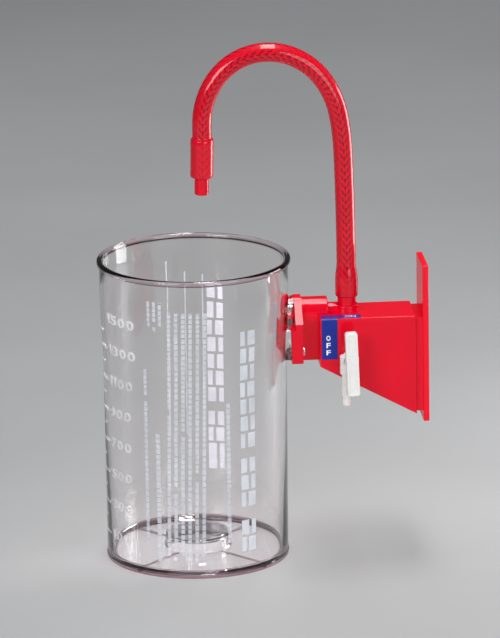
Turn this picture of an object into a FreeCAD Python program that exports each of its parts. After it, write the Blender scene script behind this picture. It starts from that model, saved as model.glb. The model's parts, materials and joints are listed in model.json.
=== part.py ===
"""Suction canister with its wall bracket, vacuum stopcock and braided lid hose.

Millimetres. The origin is the centre of the canister's base on the surface it stands on.
+Z is up, +X points from the canister to the bracket, and the valve lever faces -Y.
"""
import FreeCAD, Part
import math
import os

# clear canister
canister_height = 194.0
foot_radius = 57.8
foot_inner_radius = 55.0
foot_height = 3.0
foot_edge = 0.8
wall = 2.2
barrel_radius_low = 57.4
barrel_radius_mid = 57.9
flare_start_z = 118.0
flare_end_z = 178.0
neck_radius = 59.4
rim_radius = 61.0
rim_height = 3.6
rim_edge = 0.8
floor_bottom_z = 1.6
floor_thickness = 2.4
floor_fillet = 2.0
punt_radius = 21.5
punt_top_radius = 20.3
punt_height = 8.6
floor_rib_width = 1.2
floor_rib_gap = 0.4
floor_rib_angles = (50.0, 140.0, 230.0, 320.0)

# the clear lug's face, which the bracket's flange sits on
lug_stand_off = 2.1
flange_x = barrel_radius_mid + lug_stand_off

# vacuum port of the canister, along X
port_z = 156.5
port_collar_radius = 9.8
port_collar_past_lug = 2.5
port_collar_end_x = flange_x + port_collar_past_lug
spud_radius = 5.5
spud_bore_radius = 3.2
spud_length = 13.0
spud_lead = 0.8
port_seal_section = 1.7
port_seal_from_collar = 6.0
seal_groove_slack = 1.3

# clear lug that carries the bracket
lug_half_width = 16.4
lug_bottom_z = 128.5
lug_top_z = 148.0
lug_boss_radius = 3.0
lug_boss_length = 4.2
lug_boss_spacing = 27.0
lug_boss_z = 133.5
lug_edge = 1.0

# red bracket moulding
shell = 2.6
bracket_half_depth = 18.0
flange_thickness = 7.1
flange_end_x = flange_x + flange_thickness
flange_bottom_z = 126.0
flange_shoulder_z = 152.0
flange_corner = 2.0
flange_arch_margin = 0.5
flange_recess_bottom_z = 148.2
socket_radius = 8.7
socket_length = 24.0
socket_end_x = flange_x + socket_length
socket_clearance = 0.6
duct_radius = 4.6
duct_bore_radius = 2.0
duct_overlap = 1.6
web_half_depth = 9.5
web_bottom_z = 126.4
web_length = 10.6
body_start_x = flange_end_x + web_length
body_length = 60.9
body_end_x = body_start_x + body_length
body_top_z = 155.0
body_bottom_start_z = 124.0
body_bottom_end_z = 90.9
body_edge = 0.8
fold_edge = 0.4
neck_inset = 1.6
neck_length = 4.2
plate_x = body_end_x + neck_length
plate_thickness = 3.8
plate_half_depth = 17.5
plate_bottom_z = 85.6
plate_top_z = 187.0
plate_edge = 0.6

# hose boss and fitting
boss_from_body_start = 18.8
hose_x = body_start_x + boss_from_body_start
boss_radius = 7.4
boss_top_z = 160.0
boss_bottom_z = 143.0
boss_bore_radius = 5.0
boss_edge = 0.9
fit_gap = 0.05
fitting_collar_radius = 5.8
fitting_collar_height = 5.0
fitting_stem_bottom_z = 149.5
fitting_groove_height = 4.4
fitting_groove_depth = 1.1
fitting_bore_radius = 2.6
fitting_cross_radius = 1.7
barb_radius = 4.4
barb_root_radius = 3.9
barb_length = 21.0
barb_count = 4
barb_lead = 0.8

# braided hose and its free end
hose_radius = 6.1
hose_bore_radius = 3.3
bend_share = 0.45
hose_swell_radius = 7.2
hose_swell_length = 11.0
hose_swell_cone = 11.0
cuff_radius = 7.3
cuff_length = 26.0
cuff_cone = 2.2
cuff_edge = 1.0
connector_radius = 4.5
connector_length = 11.2
connector_bore_radius = 2.7
connector_edge = 0.6

# valve
valve_z = 129.0
hub_radius = 5.7
hub_depth = 10.4
hub_edge = 0.8
hub_front_edge = 0.35
hub_flat = 4.3
hub_collar_radius = 5.2
hub_collar = 1.8
gasket_thickness = 0.6
gasket_radius = 5.0
spigot_radius = 4.0
spigot_hole_clearance = 0.2
spigot_depth = 8.4
nose_radius = 3.4
nose_length = 5.6
nose_bore_radius = 1.6
nipple_offset = 3.0
nipple_y = -23.4
nipple_boss_radius = 4.0
nipple_boss_below = 8.6
nipple_boss_above = 3.6
nipple_radius = 2.9
nipple_tip_radius = 2.5
nipple_barb_height = 3.0
nipple_waist_height = 1.2
nipple_lead_height = 3.0
nipple_bottom_z = 100.2
nipple_bore_radius = 1.3
plug_radius = 3.35
plug_gap = 0.05
plug_length = 9.4
plug_end_gap = 0.8
plug_neck_radius = 2.5
plug_port_radius = 1.3
plug_bore_radius = 1.5
plug_shoulder_gap = 2.0
plug_groove_width = 1.3
plug_groove_depth = 0.85
plug_groove_offset = 2.6
clip_thickness = 0.8
clip_outer_radius = 3.7
clip_gap = 0.1
clip_opening = 2.6
stop_radius = 4.6
stop_pin_radius = 0.6
stop_pin_height = 0.9
stop_gap = 0.1
nut_flats = 11.0
nut_thickness = 3.0

# lever
lever_gap = 0.4
lever_thickness = 4.6
lever_length = 41.4
lever_width = 7.7
lever_corner = 1.8
lever_edge = 0.7
lever_dish_margin = 1.5
lever_dish_depth = 0.5
lever_lean = 2.0
lever_travel = 90.0
upright = 90.0

# duct elbow inside the bracket
elbow_socket_radius = 6.2
elbow_bore_radius = 2.7
elbow_top_z = 148.9
seal_section = 1.1

# rear cover
cover_thickness = 2.6
cover_gap = 0.15
screw_boss_radius = 3.4
screw_edge_margin = 0.6
screw_shank_radius = 1.25
screw_pilot_gap = 0.05
screw_clearance = 0.35
screw_head_radius = 2.7
screw_head_height = 1.4
screw_length = 9.0
screw_point = 0.6
screw_slot_width = 0.6
screw_slot_depth = 0.6
screw_head_gap = 0.2

# valve label
label_thickness = 0.15
label_inset_x = 0.2
label_leg_width = 10.0
label_leg_length = 26.3
label_top_length = 25.3
label_top_depth = 8.6

# hose centreline, X and Z, chosen by hand
hose_route = [
    (96.5, 165.0), (96.5, 200.8), (95.8, 243.0), (94.7, 272.5), (90.1, 295.1), (77.1, 314.4),
    (56.9, 324.9), (34.4, 323.7), (16.3, 310.9), (6.7, 290.0), (6.8, 267.5), (6.2, 245.6),
]

same = 1e-6

made = {}


def at(x, y, z):
    return FreeCAD.Vector(x, y, z)


ALONG_X = at(1, 0, 0)
ALONG_Y = at(0, 1, 0)
ALONG_Z = at(0, 0, 1)


def block(x0, x1, y0, y1, z0, z1):
    return Part.makeBox(x1 - x0, y1 - y0, z1 - z0, at(x0, y0, z0))


def rod_x(radius, x0, x1, y, z):
    return Part.makeCylinder(radius, x1 - x0, at(x0, y, z), ALONG_X)


def rod_y(radius, y0, y1, x, z):
    return Part.makeCylinder(radius, y1 - y0, at(x, y0, z), ALONG_Y)


def rod_z(radius, z0, z1, x, y):
    return Part.makeCylinder(radius, z1 - z0, at(x, y, z0), ALONG_Z)


def lines(points):
    return [Part.LineSegment(a, b).toShape() for a, b in zip(points, points[1:])]


def corner_arc(before, corner, after, radius):
    """A tangent arc that rounds a corner, with the points where it starts and ends."""
    towards = (before - corner).normalize()
    away = (after - corner).normalize()
    half = towards.getAngle(away) / 2
    reach = radius / math.tan(half)
    middle_way = (towards + away).normalize()
    middle = corner + middle_way * (radius / math.sin(half) - radius)
    start = corner + towards * reach
    end = corner + away * reach
    return start, end, Part.Arc(start, middle, end).toShape()


def turned(radius_height, centre=None, axis=ALONG_Z):
    """A solid of revolution from (radius, height) points, closed on its axis or on itself."""
    outline = [at(r, 0, h) for r, h in radius_height]
    outline.append(outline[0])
    solid = Part.Face(Part.Wire(lines(outline))).revolve(at(0, 0, 0), ALONG_Z, 360)
    if axis == ALONG_X:
        solid.rotate(at(0, 0, 0), ALONG_Y, 90)
    if axis == ALONG_Y:
        solid.rotate(at(0, 0, 0), ALONG_X, -90)
    if centre is not None:
        solid.translate(centre)
    return solid


def ring(radius, section, centre, axis):
    return Part.makeTorus(radius, section / 2, centre, axis)


def edges_where(shape, test):
    return [edge for edge in shape.Edges if test(edge)]


def runs_along(edge, axis):
    along = edge.Vertexes[-1].Point - edge.Vertexes[0].Point
    return along.Length > same and along.cross(axis).Length < same * along.Length


def is_straight(edge):
    return edge.Curve.TypeId == "Part::GeomLine" and edge.Length > 0


def is_circle(edge):
    return edge.Curve.TypeId == "Part::GeomCircle"


def keep(name, shape):
    solids = shape.Solids
    made[name] = solids[0] if len(solids) == 1 else Part.makeCompound(solids)


def flare(start, end):
    """Two equal arcs in the XZ plane that swing from one upright line to another."""
    dx = (end.x - start.x) / 2
    dz = (end.z - start.z) / 2
    radius = (dx * dx + dz * dz) / (2 * abs(dx))
    sag = math.copysign(radius - math.sqrt(radius * radius - dz * dz / 4), dx)
    middle = at(start.x + dx, 0, start.z + dz)
    low = Part.Arc(start, at(start.x + sag, 0, start.z + dz / 2), middle).toShape()
    high = Part.Arc(middle, at(end.x - sag, 0, end.z - dz / 2), end).toShape()
    return low, high


def canister_shell():
    """The turned form: foot ring, raised punt, slightly conical barrel, flare and rim bead."""
    floor_top = floor_bottom_z + floor_thickness
    punt_top = floor_top + punt_height
    side_slope = (punt_radius - punt_top_radius) / punt_height
    under_radius = punt_radius - floor_thickness
    under_top_radius = under_radius - side_slope * punt_height
    inner_low = barrel_radius_low - wall
    rim_bottom = canister_height - rim_height
    outer_start = at(barrel_radius_mid, 0, flare_start_z)
    outer_end = at(neck_radius, 0, flare_end_z)
    inner_start = at(barrel_radius_mid - wall, 0, flare_start_z)
    inner_end = at(neck_radius - wall, 0, flare_end_z)
    outer_low, outer_high = flare(outer_start, outer_end)
    inner_low_arc, inner_high_arc = flare(inner_start, inner_end)
    foot_start, foot_end, foot_arc = corner_arc(
        at(foot_inner_radius, 0, 0), at(foot_radius, 0, 0), at(foot_radius, 0, foot_height), foot_edge)
    floor_corner = at(inner_low, 0, floor_top)
    fillet_start, fillet_end, fillet_arc = corner_arc(
        inner_start, floor_corner, at(punt_radius, 0, floor_top), floor_fillet)
    under = [
        at(0, 0, punt_top - floor_thickness),
        at(under_top_radius, 0, punt_top - floor_thickness),
        at(under_radius, 0, floor_bottom_z),
        at(foot_inner_radius, 0, floor_bottom_z),
        at(foot_inner_radius, 0, 0),
        foot_start,
    ]
    side = [
        foot_end,
        at(foot_radius, 0, foot_height - foot_edge / 2),
        at(barrel_radius_low, 0, foot_height),
        outer_start,
    ]
    mouth = [
        outer_end,
        at(neck_radius, 0, rim_bottom),
        at(rim_radius - rim_edge, 0, rim_bottom),
        at(rim_radius, 0, rim_bottom + rim_edge),
        at(rim_radius, 0, canister_height - rim_edge),
        at(rim_radius - rim_edge, 0, canister_height),
        at(neck_radius - wall + rim_edge, 0, canister_height),
        at(neck_radius - wall, 0, canister_height - rim_edge),
        inner_end,
    ]
    inside = [
        fillet_end,
        at(punt_radius, 0, floor_top),
        at(punt_top_radius, 0, punt_top),
        at(0, 0, punt_top),
        under[0],
    ]
    edges = lines(under) + [foot_arc] + lines(side) + [outer_low, outer_high] + lines(mouth)
    edges += [inner_high_arc, inner_low_arc] + lines([inner_start, fillet_start])
    edges += [fillet_arc] + lines(inside)
    outline = Part.Wire(Part.__sortEdges__(edges))
    return Part.Face(outline).revolve(at(0, 0, 0), ALONG_Z, 360)


def floor_ribs():
    """Radial stiffening ribs on the underside, between the punt and the foot ring."""
    start = punt_radius - floor_thickness
    ribs = []
    for angle in floor_rib_angles:
        rib = block(start, foot_inner_radius + foot_edge / 2, -floor_rib_width / 2, floor_rib_width / 2,
                    floor_rib_gap, floor_bottom_z + floor_thickness / 2)
        rib.rotate(at(0, 0, 0), ALONG_Z, angle)
        ribs.append(rib)
    return ribs


def lug_boss_places():
    return [(-lug_boss_spacing / 2, lug_boss_z), (lug_boss_spacing / 2, lug_boss_z)]


def seal_x():
    return port_collar_end_x + port_seal_from_collar


def canister():
    """The clear moulding with its side port and the lug that the bracket is screwed to."""
    inside_x = barrel_radius_mid - wall / 2
    shell_form = canister_shell()
    collar = rod_x(port_collar_radius, inside_x, port_collar_end_x, 0, port_z)
    spud_end = port_collar_end_x + spud_length
    spud = rod_x(spud_radius, inside_x, spud_end, 0, port_z)
    spud = spud.makeChamfer(spud_lead, edges_where(
        spud, lambda e: is_circle(e) and abs(e.CenterOfMass.x - spud_end) < same))
    lug = block(0, flange_x, -lug_half_width, lug_half_width, lug_bottom_z, lug_top_z)
    lug = lug.makeFillet(lug_edge, edges_where(lug, lambda e: runs_along(e, ALONG_X)))
    for y, z in lug_boss_places():
        lug = lug.fuse(rod_x(lug_boss_radius, inside_x, flange_x + lug_boss_length, y, z))
    hollow = Part.makeCone(barrel_radius_low - wall / 2, barrel_radius_mid - wall / 2, canister_height)
    outworks = collar.fuse([spud, lug]).cut(hollow)
    solid = shell_form.fuse([outworks] + floor_ribs())
    solid = solid.cut(rod_x(spud_bore_radius, foot_inner_radius - wall * 2, spud_end, 0, port_z))
    groove_half = port_seal_section * seal_groove_slack / 2
    groove = rod_x(spud_radius + wall, seal_x() - groove_half, seal_x() + groove_half, 0, port_z)
    groove = groove.cut(rod_x(socket_bore() - port_seal_section, 0, body_end_x, 0, port_z))
    solid = solid.cut(groove)
    pilot_radius = screw_shank_radius + screw_pilot_gap
    for y, z in lug_boss_places():
        solid = solid.cut(rod_x(pilot_radius, flange_x, flange_x + lug_boss_length, y, z))
    keep("canister", solid.removeSplitter())


def socket_bore():
    return spud_radius + socket_clearance


def port_seal():
    radius = socket_bore() - port_seal_section / 2
    keep("port_seal", ring(radius, port_seal_section - fit_gap, at(seal_x(), 0, port_z), ALONG_X))


def body_outline(inset):
    """The body's side view, inset all round, as points in the XZ plane."""
    slope = (body_bottom_start_z - body_bottom_end_z) / (body_end_x - body_start_x)
    drop = inset * math.sqrt(1 + slope * slope)
    left = body_start_x + inset
    right = body_end_x - inset
    return [
        at(left, 0, body_top_z - inset),
        at(right, 0, body_top_z - inset),
        at(right, 0, body_bottom_end_z + slope * inset + drop),
        at(left, 0, body_bottom_start_z - slope * inset + drop),
    ]


def body_block(inset, y0, y1):
    points = body_outline(inset)
    face = Part.Face(Part.Wire(lines(points + points[:1])))
    solid = face.extrude(ALONG_Y * (y1 - y0))
    solid.translate(ALONG_Y * y0)
    return solid


def flange_form():
    """The saddle flange: a block whose top is drawn in to an arch round the port."""
    radius = port_collar_radius + flange_arch_margin
    half = bracket_half_depth
    reach = math.hypot(half, flange_shoulder_z - port_z)
    lean = math.atan2(flange_shoulder_z - port_z, half) + math.acos(radius / reach)
    touch_y = radius * math.cos(lean)
    touch_z = port_z + radius * math.sin(lean)
    points = [
        at(0, touch_y, touch_z), at(0, half, flange_shoulder_z), at(0, half, flange_bottom_z),
        at(0, -half, flange_bottom_z), at(0, -half, flange_shoulder_z), at(0, -touch_y, touch_z),
    ]
    arch = Part.Arc(points[-1], at(0, 0, port_z + radius), points[0]).toShape()
    face = Part.Face(Part.Wire(lines(points) + [arch]))
    solid = face.extrude(ALONG_X * (flange_end_x - flange_x))
    solid.translate(ALONG_X * flange_x)
    low = edges_where(solid, lambda e: is_straight(e) and runs_along(e, ALONG_X)
                      and abs(e.CenterOfMass.z - flange_bottom_z) < same)
    solid = solid.makeFillet(flange_corner, low)
    recess_top_z = body_top_z + half
    return solid.cut(block(flange_x, port_collar_end_x, -half, half, flange_recess_bottom_z, recess_top_z))


def screw_places():
    """The cover screws, one in each corner of the body's cavity."""
    corners = body_outline(shell)
    inward = screw_head_radius + screw_head_gap + screw_edge_margin
    signs = [(1, -1), (-1, -1), (-1, 1), (1, 1)]
    places = []
    for corner, (sx, sz) in zip(corners, signs):
        places.append((corner.x + sx * inward, corner.z + sz * inward))
    slope = (body_bottom_start_z - body_bottom_end_z) / (body_end_x - body_start_x)
    places[2] = (places[2][0], places[2][1] + slope * inward)
    return places


def cover_seat_y():
    return bracket_half_depth - cover_thickness


def bracket_housing():
    """The red moulding: flange, port socket, web, hollow body, neck and wall plate in one."""
    half = bracket_half_depth
    outer = body_block(0, -half, half)
    fold = edges_where(outer, lambda e: runs_along(e, ALONG_X) and e.CenterOfMass.y < 0
                       and e.CenterOfMass.z > body_bottom_start_z)
    outer = outer.makeFillet(fold_edge, fold)
    upright = edges_where(outer, lambda e: is_straight(e) and runs_along(e, ALONG_Z))
    outer = outer.makeFillet(body_edge, upright)
    neck = block(body_end_x, plate_x, -half + neck_inset, half - neck_inset,
                 body_bottom_end_z + neck_inset, body_top_z - neck_inset)
    plate = block(plate_x, plate_x + plate_thickness, -plate_half_depth, plate_half_depth,
                  plate_bottom_z, plate_top_z)
    plate = plate.makeFillet(plate_edge, plate.Edges)
    web = block(flange_end_x, body_start_x, -web_half_depth, web_half_depth, web_bottom_z, port_z)
    socket = rod_x(socket_radius, flange_end_x, socket_end_x, 0, port_z)
    socket_rim = edges_where(socket, lambda e: abs(e.CenterOfMass.x - socket_end_x) < same)
    socket = socket.makeFillet(body_edge, socket_rim)
    boss = rod_z(boss_radius, boss_bottom_z, boss_top_z, hose_x, 0)
    boss_rim = edges_where(boss, lambda e: abs(e.CenterOfMass.z - boss_top_z) < same)
    boss = boss.makeFillet(boss_edge, boss_rim)
    duct_end = hose_x - fitting_collar_radius - fit_gap
    duct = rod_x(duct_radius, socket_end_x - duct_overlap, duct_end, 0, port_z)
    cavity = body_block(shell, -half + shell, half)
    neck_pocket = block(body_end_x - shell * 2, plate_x - shell, -half + shell + neck_inset,
                        cover_seat_y() - neck_inset, body_bottom_end_z + neck_inset + shell,
                        body_top_z - neck_inset - shell)
    web_pocket = block(flange_end_x + shell, body_start_x + shell * 2,
                       -web_half_depth + shell, web_half_depth - shell,
                       web_bottom_z + shell, port_z - socket_radius - shell / 2)
    room = body_block(shell / 2, -half + shell / 2, half)
    bosses = []
    for x, z in screw_places():
        boss_post = rod_y(screw_boss_radius, -half + shell / 2, cover_seat_y(), x, z)
        bosses.append(boss_post.common(room))
    hollow = outer.fuse([neck, plate, web, flange_form()]).cut([cavity, neck_pocket, web_pocket])
    solid = hollow.fuse([socket, boss, duct] + bosses)
    spud_room = port_collar_end_x + spud_length + socket_clearance
    cuts = [
        rod_x(port_collar_radius + fit_gap, flange_x, port_collar_end_x, 0, port_z),
        rod_x(socket_bore(), flange_x, spud_room, 0, port_z),
        rod_x(duct_bore_radius, spud_room - socket_clearance, hose_x, 0, port_z),
        rod_z(boss_bore_radius, boss_bottom_z - shell, boss_top_z + shell, hose_x, 0),
        rod_y(spigot_radius + spigot_hole_clearance, -half - shell, -half + shell * 2, hose_x, valve_z),
    ]
    lug_boss_room = lug_boss_radius + spigot_hole_clearance
    for y, z in lug_boss_places():
        cuts.append(rod_x(lug_boss_room, flange_x, flange_x + lug_boss_length + fit_gap, y, z))
        cuts.append(rod_x(screw_shank_radius + screw_clearance, flange_x, flange_end_x + shell, y, z))
    seat = cover_seat_y()
    for x, z in screw_places():
        cuts.append(rod_y(screw_shank_radius + screw_pilot_gap, seat - screw_length, seat + shell, x, z))
    keep("bracket_housing", solid.cut(cuts).removeSplitter())


def rear_cover():
    """The flat cover of the body, let in flush and held by four screws."""
    half = bracket_half_depth
    plate = body_block(shell + cover_gap, cover_seat_y(), half)
    hole_radius = screw_shank_radius + screw_clearance
    sink_radius = screw_head_radius + screw_head_gap
    for x, z in screw_places():
        plate = plate.cut(rod_y(hole_radius, cover_seat_y() - shell, half + shell, x, z))
        plate = plate.cut(rod_y(sink_radius, half - screw_head_height, half + shell, x, z))
    keep("rear_cover", plate.removeSplitter())


def screw(length):
    """A slotted screw along +Z, with the underside of its head at the origin."""
    head = Part.makeCylinder(screw_head_radius, screw_head_height)
    top = edges_where(head, lambda e: is_circle(e) and abs(e.CenterOfMass.z - screw_head_height) < same)
    head = head.makeFillet(screw_slot_depth, top)
    slot = block(-screw_head_radius, screw_head_radius, -screw_slot_width / 2, screw_slot_width / 2,
                 screw_head_height - screw_slot_depth, screw_head_height)
    shank = Part.makeCylinder(screw_shank_radius, length, at(0, 0, -length))
    tip = edges_where(shank, lambda e: is_circle(e) and abs(e.CenterOfMass.z + length) < same)
    shank = shank.makeChamfer(screw_point, tip)
    return head.fuse(shank).cut(slot).removeSplitter()


def cover_screws():
    screws = []
    for x, z in screw_places():
        one = screw(screw_length - shell)
        one.rotate(at(0, 0, 0), ALONG_X, -90)
        one.translate(at(x, bracket_half_depth - screw_head_height, z))
        screws.append(one)
    keep("cover_screws", Part.makeCompound(screws))


def lug_screws():
    screws = []
    for y, z in lug_boss_places():
        one = screw(flange_end_x - flange_x - fit_gap)
        one.rotate(at(0, 0, 0), ALONG_Y, 90)
        one.translate(at(flange_end_x, y, z))
        screws.append(one)
    keep("lug_screws", Part.makeCompound(screws))


def barbed_stem(start_z, direction, length, bore):
    """A stem with saw-tooth rings, from start_z along Z in the given direction."""
    pitch = length / barb_count
    points = [(bore, 0), (barb_root_radius, 0)]
    for i in range(barb_count):
        points.append((barb_radius, pitch * i + barb_lead))
        points.append((barb_root_radius, pitch * (i + 1)))
    points.append((bore, length))
    stem = turned(points)
    if direction < 0:
        stem.rotate(at(0, 0, 0), ALONG_X, 180)
    stem.translate(ALONG_Z * start_z)
    return stem


def hose_fitting():
    """The barb that the hose is pushed on, bonded into the bracket's boss, with a ring duct."""
    collar_top = boss_top_z + fitting_collar_height
    stem_radius = boss_bore_radius - fit_gap
    collar = rod_z(fitting_collar_radius, boss_top_z, collar_top, 0, 0)
    stem = rod_z(stem_radius, fitting_stem_bottom_z, boss_top_z, 0, 0)
    groove_half = fitting_groove_height / 2
    groove = rod_z(stem_radius, port_z - groove_half, port_z + groove_half, 0, 0)
    groove = groove.cut(rod_z(stem_radius - fitting_groove_depth, 0, collar_top, 0, 0))
    solid = collar.fuse([stem, barbed_stem(collar_top, 1, barb_length, fitting_bore_radius)])
    solid = solid.cut([
        groove,
        rod_z(fitting_bore_radius, fitting_stem_bottom_z, collar_top, 0, 0),
        rod_x(fitting_cross_radius, -stem_radius, stem_radius, 0, port_z),
        rod_y(fitting_cross_radius, -stem_radius, stem_radius, 0, port_z),
    ])
    solid.translate(at(hose_x, 0, 0))
    keep("hose_fitting", solid.removeSplitter())


def route_points():
    return [at(x, 0, z) for x, z in hose_route]


def hose_path():
    """Straight runs and the tangent arcs between them, as edges in order, with the arc radii."""
    points = route_points()
    edges = []
    radii = []
    last = points[0]
    for before, corner, after in zip(points, points[1:], points[2:]):
        towards = before - corner
        away = after - corner
        turn = math.pi - towards.getAngle(away)
        run = min(towards.Length, away.Length)
        radius = bend_share * run / math.tan(turn / 2)
        start, end, arc = corner_arc(before, corner, after, radius)
        edges += [Part.LineSegment(last, start).toShape(), arc]
        radii.append(radius)
        last = end
    edges.append(Part.LineSegment(last, points[-1]).toShape())
    return edges, radii


def swept(edges, radius):
    """A round bar along the path: a cylinder for each run and a piece of a torus for each arc."""
    bars = []
    for edge in edges:
        start = edge.valueAt(edge.FirstParameter)
        along = edge.tangentAt(edge.FirstParameter)
        section = Part.Face(Part.Wire(Part.makeCircle(radius, start, along)))
        if is_straight(edge):
            bars.append(section.extrude(along * edge.Length))
        else:
            turn = math.degrees(edge.Length / edge.Curve.Radius)
            bars.append(section.revolve(edge.Curve.Center, edge.Curve.Axis, turn))
    return bars[0].fuse(bars[1:]).removeSplitter()


def vacuum_hose():
    """The braided tube with both ends stretched over their barbs."""
    path, radii = hose_path()
    length = sum(edge.Length for edge in path)
    tube = swept(path, hose_radius)
    bore = swept(path, hose_bore_radius)
    volume = math.pi * hose_radius ** 2 * length
    print("hose length", round(length, 1), "tube volume ratio", round(tube.Volume / volume, 4))
    print("hose bend radii", [round(r, 1) for r in radii])
    inside_hose = hose_radius - fit_gap
    swell = turned([
        (0, 0), (hose_swell_radius - cuff_edge / 2, 0), (hose_swell_radius, cuff_edge / 2),
        (hose_swell_radius, hose_swell_length), (inside_hose, hose_swell_length + hose_swell_cone),
        (0, hose_swell_length + hose_swell_cone),
    ])
    first, second = route_points()[:2]
    place_along(swell, first, second - first)
    swell_bore = Part.makeCylinder(barb_radius + fit_gap, barb_length + fit_gap)
    place_along(swell_bore, first, second - first)
    cuff = turned([
        (0, 0), (cuff_radius - cuff_edge, 0), (cuff_radius, cuff_edge),
        (cuff_radius, cuff_length - cuff_cone), (inside_hose, cuff_length), (0, cuff_length),
    ])
    last, before = route_points()[-1], route_points()[-2]
    place_along(cuff, last, before - last)
    cuff_bore = Part.makeCylinder(barb_radius + fit_gap, barb_length + fit_gap)
    place_along(cuff_bore, last, before - last)
    solid = tube.fuse([swell, cuff]).cut([bore, swell_bore, cuff_bore])
    keep("vacuum_hose", solid)


def place_along(shape, point, direction):
    turn = FreeCAD.Rotation(ALONG_Z, direction)
    shape.Placement = FreeCAD.Placement(point, turn)


def hose_connector():
    """The nozzle at the free end of the hose that plugs on to the liner's lid."""
    nozzle = turned([
        (connector_bore_radius, 0), (connector_radius, 0),
        (connector_radius, connector_length - connector_edge),
        (connector_radius - connector_edge, connector_length), (connector_bore_radius, connector_length),
    ])
    stem = barbed_stem(0, -1, barb_length, connector_bore_radius)
    solid = nozzle.fuse(stem)
    last, before = route_points()[-1], route_points()[-2]
    place_along(solid, last, last - before)
    keep("hose_connector", solid.removeSplitter())


def hub_back_y():
    return -bracket_half_depth - gasket_thickness


def hub_front_y():
    return hub_back_y() - hub_depth


def stop_sector(start, end, radius_from, radius_to, y0, y1):
    """A slice of a ring round the valve axis, between two angles from +X towards +Z."""
    outer = Part.makeCylinder(radius_to, y1 - y0, at(0, 0, 0), ALONG_Z, end - start)
    inner = Part.makeCylinder(radius_from, y1 - y0)
    slice_form = outer.cut(inner)
    slice_form.rotate(at(0, 0, 0), ALONG_Z, start)
    slice_form.rotate(at(0, 0, 0), ALONG_X, 90)
    slice_form.translate(at(hose_x, y1, valve_z))
    return slice_form


def valve_body():
    """The white stopcock body: hub with a flat, threaded spigot, nose and the down-pointing nipple."""
    back = hub_back_y()
    front = hub_front_y()
    collar_y = back - hub_collar
    hub = rod_y(hub_radius, front, collar_y, hose_x, valve_z)
    hub = hub.makeFillet(hub_front_edge, edges_where(hub, lambda e: abs(e.CenterOfMass.y - front) < same))
    hub = hub.cut(block(hose_x + hub_flat, hose_x + hub_radius, front, collar_y,
                        valve_z - hub_radius, valve_z + hub_radius))
    collar = rod_y(hub_collar_radius, collar_y, back, hose_x, valve_z)
    spigot_end = back + spigot_depth
    spigot = rod_y(spigot_radius, back, spigot_end, hose_x, valve_z)
    nose = rod_y(nose_radius, spigot_end, spigot_end + nose_length, hose_x, valve_z)
    x = hose_x - nipple_offset
    boss = rod_z(nipple_boss_radius, valve_z - nipple_boss_below, valve_z + nipple_boss_above, x, nipple_y)
    boss = boss.makeFillet(hub_edge, edges_where(boss, is_circle))
    waist_top = nipple_barb_height + nipple_waist_height
    nipple = turned([
        (0, 0), (nipple_tip_radius, 0), (nipple_radius, nipple_barb_height),
        (nipple_tip_radius, nipple_barb_height), (nipple_tip_radius, waist_top),
        (nipple_radius, waist_top + nipple_lead_height),
        (nipple_radius, valve_z - nipple_bottom_z), (0, valve_z - nipple_bottom_z),
    ], at(x, nipple_y, nipple_bottom_z))
    bore_radius = plug_radius + plug_gap
    barrel_end = front + plug_length + plug_end_gap
    clip_room = clip_outer_radius + clip_gap
    clip_room_y = clip_front_y() - clip_gap / 2
    pin_room = stop_pin_radius + stop_gap
    solid = hub.fuse([collar, spigot, nose, boss, nipple]).cut([
        rod_y(bore_radius, front, barrel_end, hose_x, valve_z),
        rod_y(nose_bore_radius, barrel_end, spigot_end + nose_length, hose_x, valve_z),
        rod_z(nipple_bore_radius, nipple_bottom_z, valve_z, x, nipple_y),
        rod_y(clip_room, clip_room_y, clip_room_y + clip_thickness + clip_gap, hose_x, valve_z),
        stop_sector(upright - stop_half_angle(), upright + lever_travel + stop_half_angle(),
                    stop_radius - pin_room, stop_radius + pin_room, front, front + stop_pin_height),
    ])
    groove_y = spigot_end + nose_length / 2
    groove_half = seal_section * seal_groove_slack / 2
    groove = rod_y(nose_radius, groove_y - groove_half, groove_y + groove_half, hose_x, valve_z)
    groove = groove.cut(rod_y(nose_radius + fit_gap - seal_section, front, 0, hose_x, valve_z))
    keep("valve_body", solid.cut(groove).removeSplitter())


def stop_half_angle():
    """The angle that the stop pin takes up, with its gap, on each side of its centre."""
    return math.degrees((stop_pin_radius + stop_gap) / stop_radius)


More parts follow.
